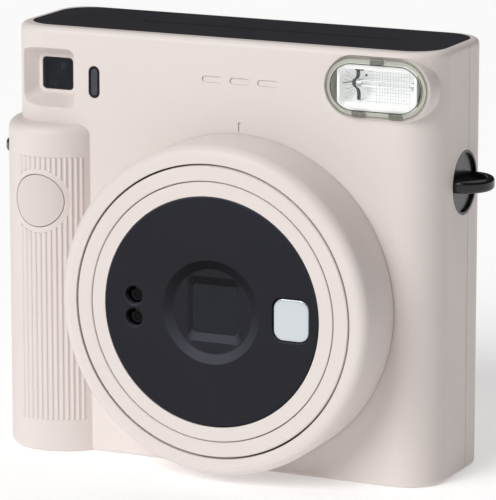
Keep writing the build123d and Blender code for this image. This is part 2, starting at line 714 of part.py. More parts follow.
def lens_face_panel():
    back = RING_FACE_Y + PANEL_THICK
    centre = (AXIS_X, AXIS_Z)
    with BuildPart() as panel:
        add(disc(PANEL_R, RING_FACE_Y, back))
        with BuildSketch(facing_front(RING_FACE_Y)):
            with Locations(centre):
                Circle(DISH_R)
        with BuildSketch(facing_front(RING_FACE_Y + DISH_DEPTH)):
            with Locations(centre):
                Circle(DISH_FLOOR_R)
        loft(mode=Mode.SUBTRACT)
        with BuildSketch(facing_front(RING_FACE_Y + DISH_DEPTH)):
            with Locations(centre):
                RectangleRounded(WINDOW_OUTER, WINDOW_OUTER, WINDOW_CORNER_R)
        with BuildSketch(facing_front(back)):
            with Locations(centre):
                RectangleRounded(WINDOW_INNER, WINDOW_INNER, 0.9)
        loft(mode=Mode.SUBTRACT)
        for z in SENSOR_ZS:
            add(disc(SENSOR_R, RING_FACE_Y - 1, back + 1, x=SENSOR_X, z=z), mode=Mode.SUBTRACT)
        mirror_seat = (RING_FACE_Y - 1, RING_FACE_Y + 1.2)
        add(
            rounded_plate(MIRROR_SIZE, MIRROR_CORNER_R, (MIRROR_X, AXIS_Z), *mirror_seat),
            mode=Mode.SUBTRACT,
        )
    save(panel.part, "lens_face_panel")
    mirror_size = (MIRROR_SIZE[0] - 0.2, MIRROR_SIZE[1] - 0.2)
    mirror_y = RING_FACE_Y + 0.4
    save(
        rounded_plate(mirror_size, MIRROR_CORNER_R - 0.1, (MIRROR_X, AXIS_Z), mirror_y, RING_FACE_Y + 1.2),
        "selfie_mirror",
    )
    with BuildPart() as eyes:
        for z in SENSOR_ZS:
            add(disc(SENSOR_R - 0.05, RING_FACE_Y + 1.0, back, x=SENSOR_X, z=z))
    save(eyes.part, "sensor_windows")
    save(rounded_plate((15.0, 15.0), 1.5, centre, back, back + 1.2), "lens_cover_glass")


def lens_elements():
    def domed(front, edge_y, back, name):
        """One element: a disc whose front face is a shallow spherical dome."""
        rim_r = CELL_R - 0.05
        dome_r = (rim_r**2 + (edge_y - front) ** 2) / (2 * (edge_y - front))
        with BuildPart() as element:
            add(disc(rim_r, front, back))
            with Locations((AXIS_X, front + dome_r, AXIS_Z)):
                Sphere(dome_r, mode=Mode.INTERSECT)
        save(element.part, name)

    domed(-25.3, -24.0, -22.4, "front_lens_element")
    domed(-22.0, -21.2, -19.4, "rear_lens_element")


def shutter():
    base_back = SHUTTER_Y + 1.5
    pivots = ((-BLADE_PIVOT_R, 0), (BLADE_PIVOT_R, 0))
    with BuildPart() as base:
        add(disc(28.0, SHUTTER_Y, base_back, bore=APERTURE_R))
        for dx, dz in pivots:
            add(disc(BLADE_PIN_R, base_back - 0.2, base_back + 1.9, x=AXIS_X + dx, z=AXIS_Z + dz))
    save(base.part, "shutter_base")
    for index, (dx, dz) in enumerate(pivots):
        front = base_back + 0.3 + 0.8 * index
        toward = 1 if dx < 0 else -1
        with BuildPart() as blade:
            with BuildSketch(facing_front(front)):
                with Locations((AXIS_X + dx + toward * 6.2, AXIS_Z)):
                    SlotOverall(19.0, 8.0)
                with Locations((AXIS_X + dx, AXIS_Z + dz)):
                    Circle(BLADE_PIN_R + 0.06, mode=Mode.SUBTRACT)
            extrude(amount=-0.4)
        save(blade.part, f"shutter_blade_{'ab'[index]}")


# ---- frame and film chamber ----

def main_frame():
    outer_x = (CHAMBER_X[0] - FRAME_WALL, CHAMBER_X[1] + FRAME_WALL)
    outer_z = (CHAMBER_Z[0] - FRAME_WALL, CHAMBER_Z[1] + FRAME_WALL)
    half = IMAGE_SIZE / 2
    with BuildPart() as frame:
        add(slab(outer_x, (CHAMBER_FRONT_Y - FRAME_WALL, SILL_Y[1]), outer_z))
        add(
            slab(
                (OPENING_X[0] + 0.5, HINGE_X - KNUCKLE_CLEAR_R - 0.4),
                SILL_Y,
                (OPENING_Z[0] + 0.6, OPENING_Z[1] - 0.6),
            )
        )
        add(slab(CHAMBER_X, (CHAMBER_FRONT_Y, SILL_Y[1] + 1), CHAMBER_Z), mode=Mode.SUBTRACT)
        add(
            slab(
                (AXIS_X - half, AXIS_X + half),
                (CHAMBER_FRONT_Y - FRAME_WALL - 1, CHAMBER_FRONT_Y + 1),
                (AXIS_Z - half, AXIS_Z + half),
            ),
            mode=Mode.SUBTRACT,
        )
        add(film_slot(CHAMBER_SLOT_WIDTH, CHAMBER_Z[1] - 1, CHAMBER_Z[1] + 3), mode=Mode.SUBTRACT)
        # the latch bolt's notch in the sill, and the pick claw's slot in the left wall
        notch_x = (OPENING_X[0], LATCH_BOLT_X[1] + 0.4)
        notch_z = (LATCH_Z - LATCH_BOLT_HALF - 2, LATCH_Z + LATCH_BOLT_HALF + 2)
        add(slab(notch_x, (SILL_Y[0] - 1, SILL_Y[1] + 1), notch_z), mode=Mode.SUBTRACT)
        add(slab((-33.5, -30.0), (9.2, 11.4), (14.0, 32.0)), mode=Mode.SUBTRACT)
        # stub axle for the idler gear
        add(rod_x(1.0, -36.9, outer_x[0] + 0.1, DRIVE_ROLLER_Y, IDLER_Z))
    save(frame.part, "main_frame")


def light_cone():
    front_y = -3.6
    back_y = CHAMBER_FRONT_Y - FRAME_WALL
    front_half = 22.0
    back_half = IMAGE_SIZE / 2
    wall = 0.9
    with BuildPart() as cone:
        for grow, mode in ((wall, Mode.ADD), (0.0, Mode.SUBTRACT)):
            with BuildSketch(facing_front(front_y)):
                with Locations((AXIS_X, AXIS_Z)):
                    Rectangle(2 * (front_half + grow), 2 * (front_half + grow))
            with BuildSketch(facing_front(back_y)):
                with Locations((AXIS_X, AXIS_Z)):
                    Rectangle(2 * (back_half + grow), 2 * (back_half + grow))
            loft(mode=mode)
    save(cone.part, "light_cone")


# ---- film door ----

def film_door():
    left = OPENING_X[0] + DOOR_GAP
    low = OPENING_Z[0] + DOOR_GAP
    high = OPENING_Z[1] - DOOR_GAP
    skin = (BACK_Y - WALL, BACK_Y)
    knuckle_x = (HINGE_X - KNUCKLE_CLEAR_R - 0.3, HINGE_X + 3)
    track_x = (LATCH_PAD_X[0] - LATCH_TRAVEL - 0.3, LATCH_PAD_X[1] + 0.3)
    track_z = (LATCH_Z - LATCH_PAD_HALF - 0.4, LATCH_Z + LATCH_PAD_HALF + 0.4)
    stem_x = (LATCH_STEM_X[0] - LATCH_TRAVEL - 0.2, LATCH_STEM_X[1] + 0.4)
    stem_z = (LATCH_Z - LATCH_STEM_HALF - 0.2, LATCH_Z + LATCH_STEM_HALF + 0.2)
    window_hole = (PACK_WINDOW_SIZE[0] + 0.1, PACK_WINDOW_SIZE[1] + 0.1)
    with BuildPart() as door:
        add(slab((left, HINGE_X), skin, (low, high)))
        add(rod_z(KNUCKLE_R, low, high, HINGE_X, HINGE_Y))
        for bottom, top in KNUCKLES_Z:
            gap = (bottom - KNUCKLE_END_GAP, top + KNUCKLE_END_GAP)
            add(slab(knuckle_x, (24, BACK_Y + 1), gap), mode=Mode.SUBTRACT)
        add(rod_z(HINGE_BORE_R, low - 1, high + 1, HINGE_X, HINGE_Y), mode=Mode.SUBTRACT)
        # sunk track and stem slot for the latch slider, and the pack window's rebate
        add(slab(track_x, (BACK_Y - 1.2, BACK_Y + 1), track_z), mode=Mode.SUBTRACT)
        add(slab(stem_x, (24, BACK_Y + 1), stem_z), mode=Mode.SUBTRACT)
        add(rounded_plate(window_hole, 2.0, PACK_WINDOW, skin[0] - 1, skin[1] + 1), mode=Mode.SUBTRACT)
    save(door.part, "film_door")
    window = rounded_plate(PACK_WINDOW_SIZE, 1.95, PACK_WINDOW, skin[0] + 0.2, skin[1] - 0.2)
    save(window, "pack_window")
    save(rod_z(HINGE_PIN_R, 9.2, 99.0, HINGE_X, HINGE_Y), "door_hinge_pin")


def pack_springs():
    """Two bowed leaf springs on the inside of the door, which press the film pack forwards."""
    seat_y = BACK_Y - WALL
    low, high = PACK_SPRING_Z
    middle = (low + high) / 2
    foot = 3.5
    with BuildPart() as springs:
        for x in PACK_SPRINGS_X:
            with BuildSketch(Plane.YZ.offset(x)):
                with BuildLine():
                    ThreePointArc((seat_y, low), (seat_y - 1.7, middle), (seat_y, high))
                    Line((seat_y, high), (seat_y, high - foot))
                    ThreePointArc((seat_y, high - foot), (seat_y - 1.3, middle), (seat_y, low + foot))
                    Line((seat_y, low + foot), (seat_y, low))
                make_face()
            extrude(amount=6.0)
    save(springs.part, "pack_springs")


def door_latch():
    """A thumb slider outside the door, and the bolt inside it, whose stem comes out to the slider."""

    def latch_z(half):
        return (LATCH_Z - half, LATCH_Z + half)

    slider_y = (BACK_Y - 1.0, BACK_Y - 0.1)
    with BuildPart() as latch:
        add(slab(LATCH_PAD_X, slider_y, latch_z(LATCH_PAD_HALF)))
        groove_x = (LATCH_PAD_X[0] + 0.8, LATCH_PAD_X[1] - 0.8)
        for step in range(-3, 4):
            middle = LATCH_Z + LATCH_GROOVE_PITCH * step
            groove = slab(groove_x, (BACK_Y - 0.5, BACK_Y + 1), (middle - 0.35, middle + 0.35))
            add(groove, mode=Mode.SUBTRACT)
    save(latch.part, "door_latch")
    with BuildPart() as bolt:
        add(slab(LATCH_BOLT_X, LATCH_BOLT_Y, latch_z(LATCH_BOLT_HALF)))
        add(slab(LATCH_STEM_X, (LATCH_BOLT_Y[1] - 0.4, slider_y[0]), latch_z(LATCH_STEM_HALF)))
    save(bolt.part, "latch_bolt")


# ---- film drive ----

def gear(teeth, bore, centre, turn_deg):
    """A spur gear on an axis along X.  Its teeth are plain trapezoids with backlash."""
    y, z = centre
    pitch_r = GEAR_MODULE * teeth / 2
    root_r = pitch_r - 1.2 * GEAR_MODULE
    tip_r = pitch_r + 0.75 * GEAR_MODULE
    root_half = 0.30 * math.pi * GEAR_MODULE
    tip_half = 0.11 * math.pi * GEAR_MODULE
    with BuildPart() as wheel:
        with BuildSketch(Plane.YZ.offset(GEAR_X[0])):
            with Locations((y, z)):
                Circle(root_r)
                with PolarLocations(0, teeth, turn_deg):
                    Polygon(
                        (root_r - 0.3, -root_half),
                        (tip_r, -tip_half),
                        (tip_r, tip_half),
                        (root_r - 0.3, root_half),
                        align=None,
                    )
                Circle(bore, mode=Mode.SUBTRACT)
        extrude(amount=GEAR_X[1] - GEAR_X[0])
    return wheel.part


def film_drive():
    end_gap = 0.3
    roller_x = (PLATE_LEFT_X[1] + end_gap, PLATE_RIGHT_X[0] - end_gap)
    with BuildPart() as drive:
        add(rod_x(ROLLER_R, *roller_x, DRIVE_ROLLER_Y, ROLLER_Z))
        add(rod_x(JOURNAL_R, GEAR_X[0], PLATE_RIGHT_X[1] + 0.5, DRIVE_ROLLER_Y, ROLLER_Z))
    save(drive.part, "drive_roller")
    with BuildPart() as pinch:
        add(rod_x(ROLLER_R, *roller_x, PINCH_ROLLER_Y, ROLLER_Z))
        add(rod_x(JOURNAL_R, PLATE_LEFT_X[0] - 0.5, PLATE_RIGHT_X[1] + 0.5, PINCH_ROLLER_Y, ROLLER_Z))
    save(pinch.part, "pinch_roller")
    with BuildPart() as bracket:
        for plate_x in (PLATE_LEFT_X, PLATE_RIGHT_X):
            add(slab(plate_x, (1.0, 20.0), (101.2, 113.4)))
        for bar_y in ((1.0, 2.6), (18.4, 20.0)):
            add(slab((PLATE_LEFT_X[0], PLATE_RIGHT_X[1]), bar_y, (101.2, 103.0)))
        for y in (DRIVE_ROLLER_Y, PINCH_ROLLER_Y):
            bore = rod_x(JOURNAL_BORE_R, PLATE_LEFT_X[0] - 1, PLATE_RIGHT_X[1] + 1, y, ROLLER_Z)
            add(bore, mode=Mode.SUBTRACT)
    save(bracket.part, "roller_bracket")
    # each gear is turned so that its teeth meet the gaps of the gear above it
    idler_turn = 90 + 180 / IDLER_TEETH
    save(gear(ROLLER_TEETH, JOURNAL_R + 0.01, (DRIVE_ROLLER_Y, ROLLER_Z), 90), "roller_gear")
    save(gear(IDLER_TEETH, 1.06, (DRIVE_ROLLER_Y, IDLER_Z), idler_turn), "idler_gear")
    save(gear(PINION_TEETH, SHAFT_R + 0.01, (DRIVE_ROLLER_Y, PINION_Z), 90), "motor_pinion")
    save(rod_x(SHAFT_R, MOTOR_X[1] - 3, GEAR_X[1], DRIVE_ROLLER_Y, PINION_Z), "motor_shaft")
    with BuildPart() as motor:
        add(rod_x(MOTOR_R, *MOTOR_X, DRIVE_ROLLER_Y, PINION_Z))
        fillet(motor.edges().sort_by(Axis.X)[0], 0.8)
        shaft_hole = rod_x(SHAFT_R + 0.06, MOTOR_X[1] - 3.1, MOTOR_X[1] + 1, DRIVE_ROLLER_Y, PINION_Z)
        add(shaft_hole, mode=Mode.SUBTRACT)
    save(motor.part, "drive_motor")
    with BuildPart() as holder:
        add(slab((MOTOR_X[1], MOTOR_X[1] + 1.4), (10.0, 18.0), (60.0, 91.0)))
        add(slab((MOTOR_X[1], CHAMBER_X[0] - FRAME_WALL), (10.0, 18.0), (60.0, 61.4)))
        shaft_room = rod_x(1.6, MOTOR_X[1] - 1, MOTOR_X[1] + 2, DRIVE_ROLLER_Y, PINION_Z)
        add(shaft_room, mode=Mode.SUBTRACT)
    save(holder.part, "motor_bracket")
    with BuildPart() as claw:
        add(slab((-34.4, -33.1), (9.6, 16.0), (15.0, 40.0)))
        add(slab((-34.4, -30.6), (9.6, 11.0), (15.0, 18.0)))
    save(claw.part, "pick_claw")


# ---- shutter button, electronics and batteries ----

def shutter_button():
    centre = {"x": BUTTON_X, "z": BUTTON_Z}
    with BuildPart() as button:
        add(disc(BUTTON_R, NOSE_Y - 1, BUTTON_BACK_Y, **centre))
        add(grip_prism(0, BUTTON_Z - 12, BUTTON_Z + 12), mode=Mode.INTERSECT)
        add(disc(BUTTON_FLANGE_R, BUTTON_FLANGE_Y, BUTTON_BACK_Y, **centre))
        add(disc(1.5, BUTTON_BACK_Y - 0.2, -8.0, **centre))
    save(button.part, "shutter_button")
    save(disc(4.6, BUTTON_BACK_Y, SWITCH_TOP_Y, bore=3.8, **centre), "button_spring")
    with BuildPart() as switch:
        add(disc(6.0, SWITCH_TOP_Y, SWITCH_TOP_Y + 1.4, **centre))
        add(disc(2.0, SWITCH_TOP_Y - 1.6, 8.5, **centre))
    save(switch.part, "shutter_switch")


def electronics():
    with BuildPart() as board:
        add(slab((-54.2, -41.0), (8.5, 9.9), (16.0, 70.0)))
        with Locations(Plane(origin=(-47.6, 9.9, 46.0), x_dir=(1, 0, 0), z_dir=(0, 1, 0))):
            Box(9.0, 12.0, 1.2, align=(Align.CENTER, Align.CENTER, Align.MIN))
            with Locations((2.0, 20.0, 0), (-3.0, -19.0, 0)):
                Box(5.0, 6.0, 1.6, align=(Align.CENTER, Align.CENTER, Align.MIN))
    save(board.part, "circuit_board")
    low = 5.2
    with BuildPart() as cells:
        for step in range(2):
            base = low + step * (BATTERY_LENGTH + 0.4)
            add(rod_z(BATTERY_R, base, base + BATTERY_LENGTH - 1.0, BATTERY_X, BATTERY_Y))
            add(rod_z(3.0, base + BATTERY_LENGTH - 1.0, base + BATTERY_LENGTH, BATTERY_X, BATTERY_Y))
    save(cells.part, "battery_cells")
    top = low + 2 * BATTERY_LENGTH + 0.4
    with BuildPart() as contacts:
        add(rod_z(5.0, top, top + 0.5, BATTERY_X, BATTERY_Y))
        add(rod_z(5.0, low - 0.5, low, BATTERY_X, BATTERY_Y))
    save(contacts.part, "battery_contacts")


def battery_cover():
    """A flush flap in the base.  Its hinge barrel runs its whole width, and a pin stands out at each end."""
    gap = 0.2
    flap_x = (FLAP_X[0] + gap, FLAP_X[1] - gap)
    with BuildPart() as flap:
        add(slab(flap_x, (FLAP_Y[0] + gap, FLAP_Y[1] - gap), (0, FLAP_THICK)))
        add(slab(flap_x, (FLAP_Y[1] - 1, FLAP_AXIS_Y), (0.35, FLAP_THICK)))
        add(rod_x(FLAP_KNUCKLE_R, *flap_x, FLAP_AXIS_Y, FLAP_AXIS_Z))
        add(
            rod_x(
                FLAP_PIN_R,
                FLAP_X[0] - FLAP_PIN_REACH,
                FLAP_X[1] + FLAP_PIN_REACH,
                FLAP_AXIS_Y,
                FLAP_AXIS_Z,
            )
        )
    save(flap.part, "battery_cover")


# ---- small outside pieces ----

def strap_lug(side, name):
    """A dished round lug in the side wall, with a bowed bar across it for the strap's cord."""
    face = side * HALF_WIDTH
    reach = LUG_REACH - LUG_BAR_WIDTH / 2
    half_span = LUG_BAR_HALF - LUG_BAR_WIDTH / 2

    def outward(low, high):
        return sorted((face + side * low, face + side * high))

    with BuildPart() as lug:
        add(rod_x(LUG_R, *outward(-3.2, -0.8), LUG_Y, LUG_Z))
        add(rod_x(LUG_R, *outward(-0.8, 0.0), LUG_Y, LUG_Z, bore=LUG_R - 0.6))
        add(rod_x(LUG_R + 0.5, *outward(-3.4, -2.3), LUG_Y, LUG_Z))
        with BuildLine(Plane.XY.offset(LUG_Z)):
            start = (face - side * 1.4, LUG_Y - half_span)
            Line(start, (face, LUG_Y - half_span))
            ThreePointArc(
                (face, LUG_Y - half_span), (face + side * reach, LUG_Y), (face, LUG_Y + half_span)
            )
            Line((face, LUG_Y + half_span), (face - side * 1.4, LUG_Y + half_span))
        root = Plane(origin=(*start, LUG_Z), x_dir=(0, 1, 0), z_dir=(side, 0, 0))
        with BuildSketch(root):
            RectangleRounded(LUG_BAR_WIDTH, LUG_BAR_THICK, 1.1)
        sweep(transition=Transition.ROUND)
    save(lug.part, name)


def film_counter():
    centre = {"x": DIAL_X, "z": DIAL_Z}
    with BuildPart() as dial:
        add(disc(8.3, 25.0, 26.2, bore=1.27, **centre))
        with BuildSketch(facing_front(26.2)):
            with Locations((centre["x"], centre["z"])):
                with PolarLocations(6.2, 11, 90, 300):
                    Circle(0.7)
        extrude(amount=0.35, mode=Mode.SUBTRACT)
    save(dial.part, "film_counter_dial")
    window = rounded_plate(COUNTER_WINDOW_SIZE, 1.05, COUNTER_WINDOW, BACK_Y - WALL + 0.3, BACK_Y - 0.2)
    save(window, "counter_window")


def case_screws():
    with BuildPart() as screws:
        for x, z in CASE_SCREWS:
            add(disc(SCREW_HEAD_R, BACK_Y - 1.1, BACK_Y - 0.1, x=x, z=z))
            add(disc(SCREW_R, BOSS_FRONT_Y + 1.2, BACK_Y - 1.0, x=x, z=z))
    save(screws.part, "case_screws")


front_shell()
rear_shell()
top_panel()
viewfinder()
flash()
lens_ring()
lens_mount()
outer_barrel()
inner_barrel()
lens_face_panel()
lens_elements()
shutter()
main_frame()
light_cone()
film_door()
pack_springs()
door_latch()
film_drive()
shutter_button()
electronics()
battery_cover()
strap_lug(1, "strap_lug_right")
strap_lug(-1, "strap_lug_left")
film_counter()
case_screws()
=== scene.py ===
"""Looks of the square-film instant camera, built round its CAD solids.

Metres, in the frame's own axes: +Z is up, the lens looks along -Y, +X is the flash side.
"""

import json
import math

import bmesh
import bpy
from mathutils import Matrix, Vector


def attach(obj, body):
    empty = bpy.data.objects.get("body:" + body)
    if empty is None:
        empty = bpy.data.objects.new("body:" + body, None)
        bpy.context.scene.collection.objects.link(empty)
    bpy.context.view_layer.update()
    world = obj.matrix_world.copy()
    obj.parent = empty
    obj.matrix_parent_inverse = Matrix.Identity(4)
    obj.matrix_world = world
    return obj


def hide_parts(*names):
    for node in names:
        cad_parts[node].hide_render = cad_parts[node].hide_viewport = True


MM = 0.001

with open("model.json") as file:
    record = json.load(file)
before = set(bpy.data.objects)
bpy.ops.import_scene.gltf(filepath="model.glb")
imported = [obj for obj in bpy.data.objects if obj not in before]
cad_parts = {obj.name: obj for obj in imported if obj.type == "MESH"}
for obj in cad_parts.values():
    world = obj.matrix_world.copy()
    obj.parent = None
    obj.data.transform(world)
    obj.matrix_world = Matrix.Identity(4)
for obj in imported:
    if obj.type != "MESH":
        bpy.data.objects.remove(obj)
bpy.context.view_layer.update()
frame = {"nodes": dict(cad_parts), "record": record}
nodes = frame["nodes"]


# ---- materials ----

MOTTLE_SCALE = 45  # noise cells per metre
SMEAR_SCALE = 130
TEXTURE_SCALE = 3200
TEXTURE_DEPTH = 0.00003
GLOW = (1, 1, 1, 1)


def new_material(name):
    """An empty node material with its Principled shader."""
    made = bpy.data.materials.new(name)
    made.use_nodes = True
    tree = made.node_tree
    return made, tree, tree.nodes["Principled BSDF"]


def grain(tree, scale, detail, roughness=0.6):
    """Noise over the surface, in the object's own coordinates."""
    place = tree.nodes.new("ShaderNodeTexCoord")
    noise = tree.nodes.new("ShaderNodeTexNoise")
    noise.inputs["Scale"].default_value = scale
    noise.inputs["Detail"].default_value = detail
    noise.inputs["Roughness"].default_value = roughness
    tree.links.new(place.outputs["Object"], noise.inputs["Vector"])
    return noise


def spread(tree, source, low, high, out_low, out_high):
    """The values of a socket from low to high, stretched to out_low to out_high."""
    band = tree.nodes.new("ShaderNodeMapRange")
    for socket, value in (("From Min", low), ("From Max", high), ("To Min", out_low), ("To Max", out_high)):
        band.inputs[socket].default_value = value
    tree.links.new(source, band.inputs["Value"])
    return band.outputs["Result"]


def moulded(
    name, colour, roughness, mottle=0.03, rough_play=0.05,
    texture=TEXTURE_SCALE, bump=0.06, soften=0.0, **fixed
):
    """Moulded plastic: faint mottling, uneven gloss and a fine spark-eroded texture.

    soften is the radius, in metres, over which shading rounds the edges. fixed sets sockets of the shader.
    """
    made, tree, shader = new_material(name)
    clouds = grain(tree, MOTTLE_SCALE, 4)
    ramp = tree.nodes.new("ShaderNodeValToRGB")
    dark, light = ramp.color_ramp.elements
    dark.position = 0.3
    light.position = 0.7
    dark.color = (*[c * (1 - mottle) for c in colour], 1)
    light.color = (*[min(1, c * (1 + mottle)) for c in colour], 1)
    tree.links.new(clouds.outputs["Fac"], ramp.inputs["Fac"])
    tree.links.new(ramp.outputs["Color"], shader.inputs["Base Color"])
    smears = grain(tree, SMEAR_SCALE, 6, 0.7)
    gloss = spread(tree, smears.outputs["Fac"], 0.3, 0.7, roughness - rough_play, roughness + rough_play)
    tree.links.new(gloss, shader.inputs["Roughness"])
    pits = grain(tree, texture, 3)
    pitting = tree.nodes.new("ShaderNodeBump")
    pitting.inputs["Strength"].default_value = bump
    pitting.inputs["Distance"].default_value = TEXTURE_DEPTH
    tree.links.new(pits.outputs["Fac"], pitting.inputs["Height"])
    if soften:
        edge = tree.nodes.new("ShaderNodeBevel")
        edge.samples = 4
        edge.inputs["Radius"].default_value = soften
        tree.links.new(edge.outputs["Normal"], pitting.inputs["Normal"])
    tree.links.new(pitting.outputs["Normal"], shader.inputs["Normal"])
    for socket, value in fixed.items():
        shader.inputs[socket.replace("_", " ")].default_value = value
    return made


def paint_shading_by_facing(made, steep, low, high):
    """Scale the colour by low where a face looks down and by high where it looks up, fully at slope steep.

    This is painted shade and painted light, which the plastic itself doesn't have. It brings out the panel's
    shallow slopes, which the lights leave flat.
    """
    tree = made.node_tree
    colour = tree.nodes["Principled BSDF"].inputs["Base Color"]
    facing = tree.nodes.new("ShaderNodeNewGeometry")
    split = tree.nodes.new("ShaderNodeSeparateXYZ")
    tree.links.new(facing.outputs["Normal"], split.inputs[0])
    up = split.outputs["Z"]
    down_gain = spread(tree, up, -steep, 0.0, low, 1.0)
    up_gain = spread(tree, up, 0.0, steep, 1.0, high)
    both = tree.nodes.new("ShaderNodeMath")
    both.operation = "MULTIPLY"
    tree.links.new(down_gain, both.inputs[0])
    tree.links.new(up_gain, both.inputs[1])
    tint = tree.nodes.new("ShaderNodeVectorMath")
    tint.operation = "SCALE"
    tree.links.new(colour.links[0].from_socket, tint.inputs[0])
    tree.links.new(both.outputs[0], tint.inputs["Scale"])
    tree.links.new(tint.outputs[0], colour)
    return made


def glass_tube(name):
    """Clear in the middle and less so along its edges, as the wall of a glass tube is."""
    made = moulded(name, (0.80, 0.84, 0.85), 0.10, rough_play=0.02, bump=0.0)
    tree = made.node_tree
    rim = tree.nodes.new("ShaderNodeLayerWeight")
    rim.inputs["Blend"].default_value = 0.5
    cover = spread(tree, rim.outputs["Facing"], 0.25, 0.8, 0.22, 0.62)
    tree.links.new(cover, tree.nodes["Principled BSDF"].inputs["Alpha"])
    return made


CREAM = (0.765, 0.697, 0.669)
# the cream darkened on the shutter button: painted shade where less light reaches it
SHADED_BUTTON_CREAM = tuple(0.91 * c for c in CREAM)
CREAM_FINISH = {"mottle": 0.012, "soften": 0.0003, "Specular_IOR_Level": 0.40}
PANEL_FINISH = {"mottle": 0.05, "bump": 0.08, "soften": 0.00012, "Specular_IOR_Level": 0.07}

# name, colour, roughness, and what else the finish sets
FINISHES = (
    # the part's own material slots, but for the tube's glass
    ("cream_plastic", CREAM, 0.46, CREAM_FINISH),
    ("panel_black", (0.0200, 0.0212, 0.0275), 0.45, PANEL_FINISH),
    (
        "top_black", (0.0300, 0.0300, 0.0360), 0.72,
        {"mottle": 0.10, "bump": 0.35, "texture": 2200, "soften": 0.0002, "Specular_IOR_Level": 0.08},
    ),
    ("lug_black", (0.006, 0.006, 0.008), 0.24, {"mottle": 0.10, "bump": 0.05, "soften": 0.0002}),
    (
        "dark_window", (0.006, 0.008, 0.013), 0.10,
        {"rough_play": 0.02, "bump": 0.0, "Alpha": 0.60, "Specular_IOR_Level": 0.30},
    ),
    ("clear_plastic", (0.90, 0.93, 0.86), 0.06, {"rough_play": 0.02, "bump": 0.02, "Alpha": 0.22}),
    ("optical_glass", (0.10, 0.12, 0.16), 0.05, {"rough_play": 0.01, "bump": 0.0, "Alpha": 0.45}),
    # this silver glows faintly, though the reflector is no lamp: painted light
    (
        "flash_silver", (0.96, 0.98, 0.97), 0.30,
        {"bump": 0.05, "Metallic": 0.15, "Emission_Color": GLOW, "Emission_Strength": 0.10},
    ),
    (
        "mirror_silver", (0.635, 0.680, 0.715), 0.22,
        {"mottle": 0.01, "rough_play": 0.03, "bump": 0.0, "Metallic": 0.35},
    ),
    ("inner_black", (0.010, 0.010, 0.011), 0.65, {"mottle": 0.10, "bump": 0.30, "Specular_IOR_Level": 0.2}),
    ("gear_nylon", (0.74, 0.73, 0.68), 0.42, {"bump": 0.08, "soften": 0.0001}),
    ("blade_steel", (0.10, 0.10, 0.105), 0.35, {"bump": 0.05, "Metallic": 0.9}),
    ("spring_steel", (0.56, 0.56, 0.57), 0.30, {"bump": 0.05, "Metallic": 1.0}),
    ("board_green", (0.02, 0.15, 0.07), 0.35, {"bump": 0.10}),
    ("capacitor_sleeve", (0.02, 0.02, 0.03), 0.30, {}),
    ("cell_wrap", (0.30, 0.32, 0.36), 0.30, {}),
    # CAD nodes with a finish of their own within their slot, and the shutter button's cream darkened as
    # painted shade
    (
        "cover_smoke", (0.0175, 0.0190, 0.0240), 0.12,
        {"rough_play": 0.02, "bump": 0.0, "Alpha": 0.97, "Specular_IOR_Level": 0.12},
    ),
    ("cream_painted_shade", SHADED_BUTTON_CREAM, 0.46, CREAM_FINISH),
    # pieces made here
    # the panel's material; painted shade and painted light by facing are added to it below
    ("panel_painted_shading", (0.0203, 0.0210, 0.0265), 0.45, PANEL_FINISH),
    ("flash_rim", (0.66, 0.67, 0.58), 0.12, {"rough_play": 0.03, "bump": 0.02, "Alpha": 0.26}),
    ("flash_liner", (0.64, 0.635, 0.56), 0.45, {"mottle": 0.05, "bump": 0.05}),
    ("flash_pane", (0.94, 0.96, 0.92), 0.05, {"rough_play": 0.02, "bump": 0.0, "Alpha": 0.04}),
    # this white glows faintly, though none of its pieces is a lamp: painted light on the reflector's flanges,
    # painted highlights on the tube and painted glints in the finder
    (
        "glowing_white", (0.96, 0.97, 0.95), 0.35,
        {"bump": 0.02, "Emission_Color": GLOW, "Emission_Strength": 0.12},
    ),
    ("flash_lines", (0.42, 0.45, 0.42), 0.40, {"bump": 0.0, "Alpha": 0.26}),
    ("clip_olive", (0.014, 0.014, 0.006), 0.35, {}),
    ("trigger_dark", (0.016, 0.017, 0.019), 0.40, {"bump": 0.03, "Specular_IOR_Level": 0.2}),
    ("sight_grey", (0.50, 0.55, 0.62), 0.35, {}),
    (
        "eye_gloss", (0.001, 0.001, 0.0015), 0.14,
        {"rough_play": 0.02, "bump": 0.0, "Specular_IOR_Level": 0.10},
    ),
    ("sensor_grey", (0.040, 0.044, 0.050), 0.25, {"bump": 0.0}),
)
materials = {name: moulded(name, colour, roughness, **rest) for name, colour, roughness, rest in FINISHES}
materials["tube_glass"] = glass_tube("tube_glass")
# painted shade on the panel's down-facing slopes and painted light on its up-facing ones
paint_shading_by_facing(materials["panel_painted_shading"], steep=0.34, low=0.25, high=2.7)

# finishes that aren't slots themselves, among them the button's painted shade, and the slot that each belongs
# to
NODE_MATERIAL = {"lens_cover_glass": "cover_smoke", "shutter_button": "cream_painted_shade"}
for part in frame["record"]["subparts"]:
    mesh = nodes[part["node"]].data
    mesh.materials.clear()
    mesh.materials.append(materials[NODE_MATERIAL.get(part["node"], part["material_slot"])])


# ---- mesh helpers: all sizes in millimetres ----

def piece(name, bm, material, body="housing", smooth_deg=30):
    """A finished mesh as a piece that rides on a CAD body."""
    bmesh.ops.recalc_face_normals(bm, faces=bm.faces)
    mesh = bpy.data.meshes.new(name)
    bm.to_mesh(mesh)
    bm.free()
    mesh.transform(Matrix.Scale(MM, 4))
    mesh.shade_smooth()
    mesh.set_sharp_from_angle(angle=math.radians(smooth_deg))
    made = bpy.data.objects.new(name, mesh)
    bpy.context.scene.collection.objects.link(made)
    mesh.materials.append(materials[material])
    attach(made, body)
    return made


